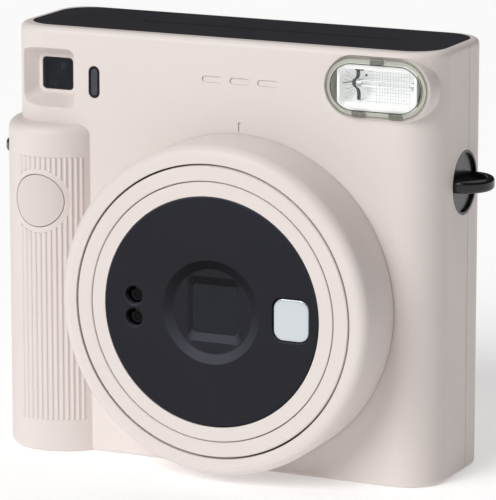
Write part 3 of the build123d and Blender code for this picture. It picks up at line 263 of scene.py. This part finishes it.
def skin(bm, rings, close_start=True, close_end=True):
    """Faces between matching closed rings of points, with the ends closed if asked."""
    loops = [[bm.verts.new(point) for point in ring] for ring in rings]
    count = len(loops[0])
    for first, second in zip(loops, loops[1:]):
        for i in range(count):
            j = (i + 1) % count
            bm.faces.new((first[i], first[j], second[j], second[i]))
    if close_start:
        bm.faces.new(loops[0])
    if close_end:
        bm.faces.new(reversed(loops[-1]))
    return loops


def open_skin(bm, rings):
    """Faces between matching rings, with both ends left open."""
    return skin(bm, rings, close_start=False, close_end=False)


def round_skin(bm, rings):
    """Faces between matching rings and back from the last to the first, as on a hoop."""
    open_skin(bm, rings + [rings[0]])
    bmesh.ops.remove_doubles(bm, verts=bm.verts, dist=1e-5)


def fill_between(bm, loops):
    """The flat face between an outer loop and the loops of the holes in it."""
    edges = []
    for loop in loops:
        edges += [bm.edges.get((loop[i - 1], loop[i])) for i in range(len(loop))]
    bmesh.ops.triangle_fill(bm, use_beauty=True, edges=edges)


def flat_first(made):
    """Shading that keeps large flat faces flat, so that only the edge bevels between them turn."""
    weighted = made.modifiers.new("flat faces first", "WEIGHTED_NORMAL")
    weighted.keep_sharp = True
    weighted.weight = 100


def circle_ring(centre, radius, y, steps=96):
    """Points round a circle across Y."""
    turns = [2 * math.pi * step / steps for step in range(steps)]
    return [(centre[0] + radius * math.cos(turn), y, centre[1] + radius * math.sin(turn)) for turn in turns]


def rounded_ring(centre, width, height, radius, y, steps=8):
    """Points round a rectangle with rounded corners, across Y."""
    points = []
    for quarter, (side_x, side_z) in enumerate(((1, 1), (-1, 1), (-1, -1), (1, -1))):
        for step in range(steps + 1):
            turn = math.pi / 2 * (quarter + step / steps)
            x = centre[0] + side_x * (width / 2 - radius) + radius * math.cos(turn)
            z = centre[1] + side_z * (height / 2 - radius) + radius * math.sin(turn)
            points.append((x, y, z))
    return points


def section_ring(middle, radius, across, other, sides):
    """Points round a circle in the plane of the two unit vectors across and other."""
    turns = [2 * math.pi * step / sides for step in range(sides)]
    return [middle + radius * (math.cos(turn) * across + math.sin(turn) * other) for turn in turns]


def outline_tube(bm, path, radius, sides=6):
    """A thin closed tube along a closed path that lies across Y."""
    count = len(path)
    out = Vector((0, 1, 0))
    rings = []
    for i in range(count):
        before, after = Vector(path[i - 1]), Vector(path[(i + 1) % count])
        across = (after - before).normalized().cross(out)
        rings.append(section_ring(Vector(path[i]), radius, across, out, sides))
    round_skin(bm, rings)


def stadium_ring(centre, length, height, y, steps=20):
    """Points round a stadium across Y."""
    radius = height / 2
    run = length / 2 - radius
    points = []
    for side in (1, -1):
        for step in range(steps + 1):
            angle = math.pi * step / steps - math.pi / 2
            x = centre[0] + side * (run + radius * math.cos(angle))
            points.append((x, y, centre[1] + side * radius * math.sin(angle)))
    return points


def octagon_ring(centre, width, height, cut, y):
    """Points round a rectangle with cut corners, across Y."""
    w, h = width / 2, height / 2
    corners = (
        (w - cut, h), (w, h - cut), (w, cut - h), (w - cut, -h),
        (cut - w, -h), (-w, cut - h), (-w, h - cut), (cut - w, h),
    )
    return [(centre[0] + x, y, centre[1] + z) for x, z in corners]


def brick(bm, x, y, z, round_by=0.12):
    """A small block with its edges rounded: x, y and z are each a (low, high) pair."""
    corners = [(a, b, c) for a in x for b in y for c in z]
    verts = [bm.verts.new(corner) for corner in corners]
    made = [
        bm.faces.new([verts[i] for i in face])
        for face in ((0, 1, 3, 2), (4, 6, 7, 5), (0, 4, 5, 1), (2, 3, 7, 6), (0, 2, 6, 4), (1, 5, 7, 3))
    ]
    # each edge once, in the same order every run
    edges = list(dict.fromkeys(edge for face in made for edge in face.edges))
    bmesh.ops.recalc_face_normals(bm, faces=made)
    bmesh.ops.bevel(bm, geom=edges, offset=round_by, segments=2, affect="EDGES", profile=0.6)


def rod(bm, start, end, radii, sides=24):
    """A turned rod from start to end: radii is a list of (share of the length, radius)."""
    start, end = Vector(start), Vector(end)
    along = (end - start).normalized()
    across = along.orthogonal().normalized()
    other = along.cross(across)
    skin(bm, [section_ring(start.lerp(end, share), radius, across, other, sides) for share, radius in radii])


# ---- flash: cover, reflector, tube and its fittings ----

FLASH_X, FLASH_Z = FLASH = (48.93, 108.8)
FLASH_FRONT = -12.0
COVER_BACK = -3.0
COVER_LENGTH, COVER_HEIGHT = 29.9, 16.4
COVER_WALL = 1.95
REFLECTOR = (21.6, 11.6)
REFLECTOR_FRONT = -10.3
REFLECTOR_BACK = -4.4
REFLECTOR_LIP = 0.9
TROUGH_STEPS = 8
TUBE_Y = -6.9
TUBE_Z = FLASH_Z + 0.5
TUBE_LEFT, TUBE_RIGHT = FLASH_X - 6.4, FLASH_X + 9.6
BAND_X = FLASH_X - 6.3
BAND_Y = TUBE_Y - 1.35

# each is (inset from the cover's outline, y)
WALL_PROFILE = (
    (0, COVER_BACK), (0, FLASH_FRONT + 0.9), (0.08, FLASH_FRONT + 0.45), (0.3, FLASH_FRONT + 0.15),
    (0.7, FLASH_FRONT), (1.5, FLASH_FRONT), (1.75, FLASH_FRONT + 0.12), (1.9, FLASH_FRONT + 0.5),
    (COVER_WALL, COVER_BACK),
)
PANE_PROFILE = ((COVER_WALL, FLASH_FRONT + 0.25), (COVER_WALL, FLASH_FRONT + 1.0))
LINER_PROFILE = (
    (0.5, COVER_BACK), (0.5, FLASH_FRONT + 1.5), (0.6, FLASH_FRONT + 1.35), (1.65, FLASH_FRONT + 1.35),
    (1.75, COVER_BACK),
)
# (growth past the cover's outline, y): the collar spreads to the right and down only
COLLAR_PROFILE = (
    (-0.4, -10.2), (0.02, -10.85), (0.14, -10.80), (0.26, -10.5), (0.38, -9.5), (0.46, -7.5), (0.5, -5.0),
    (-0.4, -5.0),
)


def cover_ring(inset, y, steps=20):
    """Points round the flash cover's outline, moved in by inset."""
    return stadium_ring(FLASH, COVER_LENGTH - 2 * inset, COVER_HEIGHT - 2 * inset, y, steps)


def flash_cover():
    """The clear cover's side wall and window, the pale liner inside, and a cream collar round its sides."""
    bm = bmesh.new()
    round_skin(bm, [cover_ring(*step) for step in WALL_PROFILE])
    wall = piece("flash_cover_wall", bm, "flash_rim")
    bm = bmesh.new()
    skin(bm, [cover_ring(*step) for step in PANE_PROFILE])
    piece("flash_cover_window", bm, "flash_pane")
    bm = bmesh.new()
    round_skin(bm, [cover_ring(*step) for step in LINER_PROFILE])
    piece("flash_cover_liner", bm, "flash_liner")
    bm = bmesh.new()
    collar = []
    for grow, y in COLLAR_PROFILE:
        middle = (FLASH_X + grow, FLASH_Z - max(grow, 0) * 0.8)
        collar.append(stadium_ring(middle, COVER_LENGTH + 2 * grow, COVER_HEIGHT + 1.6 * grow, y))
    round_skin(bm, collar)
    piece("flash_collar", bm, "cream_plastic", smooth_deg=50)
    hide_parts("flash_cover")


def flash_reflector():
    """A trough with cut corners: a thin lip, curved walls down to the tube, and two white flanges; all of it
    glows faintly, painted light.
    """
    bm = bmesh.new()
    width, height = REFLECTOR
    depth = REFLECTOR_BACK - REFLECTOR_FRONT
    lip = (width + REFLECTOR_LIP, height + REFLECTOR_LIP, 1.6)
    rings = [
        octagon_ring(FLASH, *lip, REFLECTOR_FRONT + 0.3),
        octagon_ring(FLASH, *lip, REFLECTOR_FRONT),
        octagon_ring(FLASH, width, height, 1.5, REFLECTOR_FRONT),
    ]
    for step in range(1, TROUGH_STEPS + 1):
        share = step / TROUGH_STEPS
        narrow = height - 2.2 - (height - 7.4) * share**1.8
        y = REFLECTOR_FRONT + 0.5 + (depth - 0.5) * share**0.7
        rings.append(octagon_ring(FLASH, width - 0.5 - 1.6 * share, narrow, 1.3, y))
    skin(bm, rings, close_start=False)
    shell = piece("flash_reflector_shell", bm, "flash_silver", smooth_deg=35)
    thick = shell.modifiers.new("thickness", "SOLIDIFY")
    thick.thickness = 0.25 * MM
    thick.offset = 1
    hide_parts("flash_reflector")
    bm = bmesh.new()
    front = (REFLECTOR_FRONT - 0.12, REFLECTOR_FRONT + 0.5)
    brick(bm, (FLASH_X - 9.3, FLASH_X + 9.0), front, (FLASH_Z + 4.75, FLASH_Z + 5.75), 0.10)
    brick(bm, (FLASH_X - 9.2, FLASH_X + 9.2), front, (FLASH_Z - 5.75, FLASH_Z - 4.15), 0.10)
    piece("flash_flanges", bm, "glowing_white")


def flash_tube():
    """The glass tube, its two metal caps, and two white rods that stand in for bright reflections."""
    bm = bmesh.new()
    ends = ((TUBE_LEFT, TUBE_Y, TUBE_Z), (TUBE_RIGHT, TUBE_Y, TUBE_Z))
    rod(bm, *ends, ((0, 0.6), (0.012, 0.95), (0.988, 0.95), (1, 0.6)))
    glass = piece("flash_tube_glass", bm, "tube_glass")
    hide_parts("flash_tube")
    bm = bmesh.new()
    for x, way in ((TUBE_LEFT, -1), (TUBE_RIGHT, 1)):
        ends = ((x - 0.9 * way, TUBE_Y, TUBE_Z), (x + 0.4 * way, TUBE_Y, TUBE_Z))
        rod(bm, *ends, ((0, 1.05), (0.1, 1.15), (0.9, 1.15), (1, 0.9)))
    piece("flash_tube_caps", bm, "spring_steel")
    bm = bmesh.new()
    # two glowing white rods in front of the tube: painted highlights, not parts of the flash
    for height, radius in ((0.72, 0.13), (-0.62, 0.17)):
        y, z = TUBE_Y - 0.75, TUBE_Z + height
        rod(bm, (TUBE_LEFT + 0.6, y, z), (TUBE_RIGHT - 0.4, y, z), ((0, radius), (1, radius)), 10)
    piece("flash_tube_painted_highlights", bm, "glowing_white")


def flash_trigger():
    """The dark trigger band bent round the tube, its top bar, its lead and a small stud."""
    bm = bmesh.new()
    path = (
        (0.0, 4.2), (0.0, 2.6), (-0.35, 1.9), (-1.0, 1.5), (-1.2, 1.0), (-1.2, 0.1),
        (-0.9, -0.35), (-0.2, -0.8), (0.15, -1.5), (0.25, -2.6), (0.2, -3.9),
    )
    half = 0.5
    thick = 0.18
    section = ((-half, 0), (half, 0), (half, thick), (-half, thick))
    skin(bm, [[(BAND_X + x + a, BAND_Y + b, FLASH_Z + z) for a, b in section] for x, z in path])
    brick(bm, (BAND_X - 0.9, BAND_X + 1.6), (BAND_Y, BAND_Y + 0.2), (FLASH_Z + 4.0, FLASH_Z + 4.35), 0.04)
    lead = ((BAND_X - 1.2, BAND_Y, FLASH_Z + 1.0), (BAND_X - 5.2, BAND_Y - 0.9, FLASH_Z + 0.25))
    rod(bm, *lead, ((0, 0.13), (1, 0.13)), 10)
    x, z = BAND_X + 2.3, FLASH_Z + 2.9
    rod(bm, (x, BAND_Y, z), (x, BAND_Y + 0.3, z), ((0, 0.24), (0.2, 0.32), (1, 0.32)), 14)
    piece("flash_trigger_band", bm, "trigger_dark", smooth_deg=20)


def flash_trim():
    """Fan lines at the reflector's left end, the window's fine grid, dark lines in the rim that are painted
    shade for the dark edges its clear wall shows by refraction, and its three clips.
    """
    bm = bmesh.new()
    for turn in range(-3, 4):
        inner = (FLASH_X - 7.2, TUBE_Y + 0.4, FLASH_Z + 0.45 * turn)
        outer = (FLASH_X - 10.0, TUBE_Y - 1.9, FLASH_Z + 1.35 * turn)
        rod(bm, inner, outer, ((0, 0.09), (1, 0.09)), 6)
    grid = (FLASH_FRONT + 1.1, FLASH_FRONT + 1.2)
    for step in range(13):
        x = FLASH_X + 0.2 + 0.78 * step
        brick(bm, (x - 0.04, x + 0.04), grid, (FLASH_Z - 4.0, FLASH_Z + 4.5), 0.01)
    for step in range(10):
        z = FLASH_Z - 3.5 + 0.88 * step
        brick(bm, (FLASH_X - 2.6, FLASH_X + 9.9), grid, (z - 0.035, z + 0.035), 0.01)
    piece("flash_fine_lines", bm, "flash_lines")
    # thin dark tubes in the rim's wall: painted shade, standing for the dark edges that refraction shows in a
    # clear wall
    painted_rim_edges = (("outer", 0.55, FLASH_FRONT + 0.9, 0.10), ("inner", COVER_WALL, FLASH_FRONT + 0.5, 0.13))
    for name, inset, y, radius in painted_rim_edges:
        bm = bmesh.new()
        outline_tube(bm, cover_ring(inset, y, 24), radius)
        piece("flash_rim_painted_edge_" + name, bm, "clip_olive")
    bm = bmesh.new()
    half = COVER_HEIGHT / 2
    for x, side in ((FLASH_X + 0.3, 1), (FLASH_X - 4.9, -1), (FLASH_X + 5.7, -1)):
        z = sorted((FLASH_Z + side * (half - 0.35), FLASH_Z + side * (half - 1.80)))
        brick(bm, (x - 1.75, x + 1.75), (FLASH_FRONT + 0.12, FLASH_FRONT + 1.5), z, 0.15)
    piece("flash_cover_clips", bm, "clip_olive")


# ---- what is seen through the viewfinder's window, and the light sensor ----

SENSOR_PAD = (-34.9, 104.25)
SENSOR_PAD_LENGTH, SENSOR_PAD_WIDTH = 8.9, 3.4


def finder_insides():
    """Behind the finder's dark window: the sighting mask, two rings, and small fittings at the lower left,
    two of them glowing white as painted glints.
    """
    bm = bmesh.new()
    brick(bm, (-49.2, -47.5), (-2.3, -2.1), (106.0, 107.4), 0.08)
    piece("finder_mask", bm, "sight_grey")
    rings = (("sight", -48.5, 105.2, 0.62, 0.17), ("fitting", -52.0, 101.7, 0.55, 0.12))
    for name, x, z, radius, tube in rings:
        bm = bmesh.new()
        outline_tube(bm, circle_ring((x, z), radius, -2.2, 28), tube)
        piece("finder_ring_" + name, bm, "sight_grey")
    bm = bmesh.new()
    # two small heads in glowing white: painted glints
    for x, z, radius in ((-50.9, 101.1, 0.24), (-50.1, 102.1, 0.18)):
        rod(bm, (x, -2.4, z), (x, -2.0, z), ((0, radius * 0.5), (0.3, radius), (1, radius)), 14)
    piece("finder_glint_heads", bm, "glowing_white")


def light_sensor():
    """The lighter pad inside the light sensor's dark outline, standing upright."""
    bm = bmesh.new()
    rings = []
    for inset, y in ((0.75, -10.0), (0.75, -10.14), (0.95, -10.2)):
        ring = stadium_ring((0, 0), SENSOR_PAD_LENGTH - 2 * inset, SENSOR_PAD_WIDTH - 2 * inset, y, 14)
        rings.append([(SENSOR_PAD[0] + z, depth, SENSOR_PAD[1] + x) for x, depth, z in ring])
    skin(bm, rings)
    flat_first(piece("light_sensor_pad", bm, "sensor_grey"))


# ---- lens panel, with its dish, window funnel, sensor holes and mirror ----

LENS_AXIS = (9.0, 47.95)
FUNNEL_CENTRE = (LENS_AXIS[0] + 0.4, LENS_AXIS[1] + 0.5)
PANEL_FRONT = -28.75
PANEL_BACK = -26.97
DISH_FLOOR = PANEL_FRONT + 1.05
SENSORS = ((-13.9, 50.5), (-13.9, 44.35))
EYE_RADIUS = 2.35
EYE_EDGE_Y = -27.1
MIRROR = (32.35, 47.95)
MIRROR_WIDTH, MIRROR_HEIGHT, MIRROR_CORNER = 10.15, 11.35, 2.75

# (radius, y)
PANEL_EDGE = ((31.5, PANEL_BACK), (31.5, PANEL_FRONT + 0.3), (31.42, PANEL_FRONT + 0.1), (31.2, PANEL_FRONT))
DISH_PROFILE = (
    (14.35, PANEL_FRONT), (14.2, PANEL_FRONT + 0.03), (14.0, PANEL_FRONT + 0.10),
    (11.9, DISH_FLOOR - 0.1), (11.72, DISH_FLOOR - 0.03), (11.5, DISH_FLOOR),
)
HOLE_PROFILE = ((2.72, PANEL_FRONT), (2.6, PANEL_FRONT + 0.05), (2.48, PANEL_FRONT + 0.2), (2.4, PANEL_BACK))
# (width, height, corner radius, y)
FUNNEL_PROFILE = (
    (15.7, 18.0, 2.0, DISH_FLOOR), (15.5, 17.8, 1.9, DISH_FLOOR + 0.05),
    (13.5, 13.5, 1.3, PANEL_BACK - 0.06), (13.35, 13.35, 1.25, PANEL_BACK),
)
SEAT_PROFILE = (
    (11.15, 12.35, 3.2, PANEL_FRONT), (10.95, 12.15, 3.1, PANEL_FRONT + 0.06),
    (10.8, 12.0, 3.0, PANEL_FRONT + 0.25), (10.75, 11.95, 3.0, PANEL_FRONT + 1.15),
)


def lens_panel():
    """The black panel: a disc with a dish round the lens window, two sensor holes and the mirror's seat."""
    bm = bmesh.new()
    outer = open_skin(bm, [circle_ring(LENS_AXIS, *step, 160) for step in PANEL_EDGE])
    dish = open_skin(bm, [circle_ring(LENS_AXIS, *step) for step in DISH_PROFILE])
    funnel = open_skin(bm, [rounded_ring(FUNNEL_CENTRE, *step) for step in FUNNEL_PROFILE])
    holes = [open_skin(bm, [circle_ring(centre, *step, 40) for step in HOLE_PROFILE]) for centre in SENSORS]
    seat = skin(bm, [rounded_ring(MIRROR, *step) for step in SEAT_PROFILE], close_start=False)
    fill_between(bm, [outer[-1], dish[0], holes[0][0], holes[1][0], seat[0]])
    fill_between(bm, [dish[-1], funnel[0]])
    fill_between(bm, [outer[0], funnel[-1], holes[0][-1], holes[1][-1]])
    # its material carries painted shade and painted light by which way each face looks
    panel = piece("lens_panel", bm, "panel_painted_shading", "barrel_stage_2", smooth_deg=60)
    flat_first(panel)
    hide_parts("lens_face_panel")


def sensor_eyes():
    """A glossy dark dome deep in each sensor hole, with its barrel's edge in front."""
    bm = bmesh.new()
    for centre in SENSORS:
        dome = [circle_ring(centre, EYE_RADIUS, y, 32) for y in (-26.96, EYE_EDGE_Y)]
        for step in range(1, 6):
            turn = math.pi / 2 * step / 6
            y = EYE_EDGE_Y - 0.45 * math.sin(turn)
            dome.append(circle_ring(centre, EYE_RADIUS * math.cos(turn), y, 32))
        skin(bm, dome)
    eyes = piece("sensor_eyes", bm, "eye_gloss", "barrel_stage_2", smooth_deg=50)
    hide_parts("sensor_windows")
    for name, (x, z) in (("upper", SENSORS[0]), ("lower", SENSORS[1])):
        bm = bmesh.new()
        outline_tube(bm, circle_ring((x + 0.75, z + 0.25), 1.35, -27.75, 32), 0.10)
        piece("sensor_barrel_" + name, bm, "panel_black", "barrel_stage_2")


def selfie_mirror():
    """A slightly crowned mirror with a rounded edge, sunk in its seat."""
    bm = bmesh.new()
    size = (MIRROR_WIDTH, MIRROR_HEIGHT, MIRROR_CORNER)
    rings = [rounded_ring(MIRROR, *size, y) for y in (PANEL_FRONT + 1.14, PANEL_FRONT + 0.62)]
    edge = (MIRROR_WIDTH - 0.12, MIRROR_HEIGHT - 0.12, MIRROR_CORNER - 0.06)
    rings.append(rounded_ring(MIRROR, *edge, PANEL_FRONT + 0.52))
    for share in (0.96, 0.85, 0.7, 0.5, 0.3, 0.1):
        y = PANEL_FRONT + 0.46 - 0.12 * (1 - share**2)
        rings.append(rounded_ring(MIRROR, *[measure * share for measure in size], y))
    skin(bm, rings)
    mirror = piece("selfie_mirror_glass", bm, "mirror_silver", "barrel_stage_2", smooth_deg=50)
    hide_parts("selfie_mirror")


flash_cover()
flash_reflector()
flash_tube()
flash_trigger()
flash_trim()
finder_insides()
light_sensor()
lens_panel()
sensor_eyes()
selfie_mirror()


# ---- stage, light and camera ----

FLOOR_HALF = 30.0
CAMERA_PLACE = (0.4552, -0.9669, 0.2925)
CAMERA_YAW, CAMERA_PITCH = math.radians(24.887), math.radians(12.348)
LENS_MM, SENSOR_MM = 287.5, 36


def sun_light(name, towards, power, spread_deg):
    """A wide soft light of even strength, from the direction of the given vector."""
    data = bpy.data.lights.new(name, "SUN")
    data.energy = power
    data.angle = math.radians(spread_deg)
    lamp = bpy.data.objects.new(name, data)
    lamp.rotation_mode = "QUATERNION"
    lamp.rotation_quaternion = (-Vector(towards)).to_track_quat("-Z", "Y")
    bpy.context.scene.collection.objects.link(lamp)


def add_floor():
    """One wide pale sheet for the object to stand on."""
    half = FLOOR_HALF
    mesh = bpy.data.meshes.new("floor")
    corners = [(-half, -half, 0), (half, -half, 0), (half, half, 0), (-half, half, 0)]
    mesh.from_pydata(corners, [], [(0, 1, 2, 3)])
    floor = bpy.data.objects.new("floor", mesh)
    bpy.context.scene.collection.objects.link(floor)
    paper = moulded(
        "floor_paper", (0.93, 0.93, 0.93), 0.85, mottle=0.004, bump=0.0,
        Emission_Color=GLOW, Emission_Strength=0.28,
    )
    mesh.materials.append(paper)


def add_world():
    """A faint warm light from all round."""
    world = bpy.data.worlds.new("studio")
    world.use_nodes = True
    sky = world.node_tree.nodes["Background"]
    sky.inputs["Color"].default_value = (1.0, 0.84, 0.80, 1)
    sky.inputs["Strength"].default_value = 0.04
    bpy.context.scene.world = world


def add_camera():
    """The camera, a long way off with a long lens, in front of the flash side and a little above."""
    camera = bpy.data.objects.new("camera", bpy.data.cameras.new("camera"))
    camera.data.lens = LENS_MM
    camera.data.sensor_width = SENSOR_MM
    camera.location = CAMERA_PLACE
    flat = math.cos(CAMERA_PITCH)
    back = Vector((math.sin(CAMERA_YAW) * flat, -math.cos(CAMERA_YAW) * flat, math.sin(CAMERA_PITCH)))
    camera.rotation_mode = "QUATERNION"
    camera.rotation_quaternion = (-back).to_track_quat("-Z", "Y")
    camera.data.clip_start = 0.01
    bpy.context.scene.collection.objects.link(camera)
    bpy.context.scene.camera = camera


add_floor()
add_world()
bpy.context.scene.view_settings.view_transform = "Standard"
sun_light("key", (-0.30, -0.78, 0.56), 2.19, 38)
sun_light("overhead", (0.05, 0.25, 1.0), 1.05, 70)
add_camera()
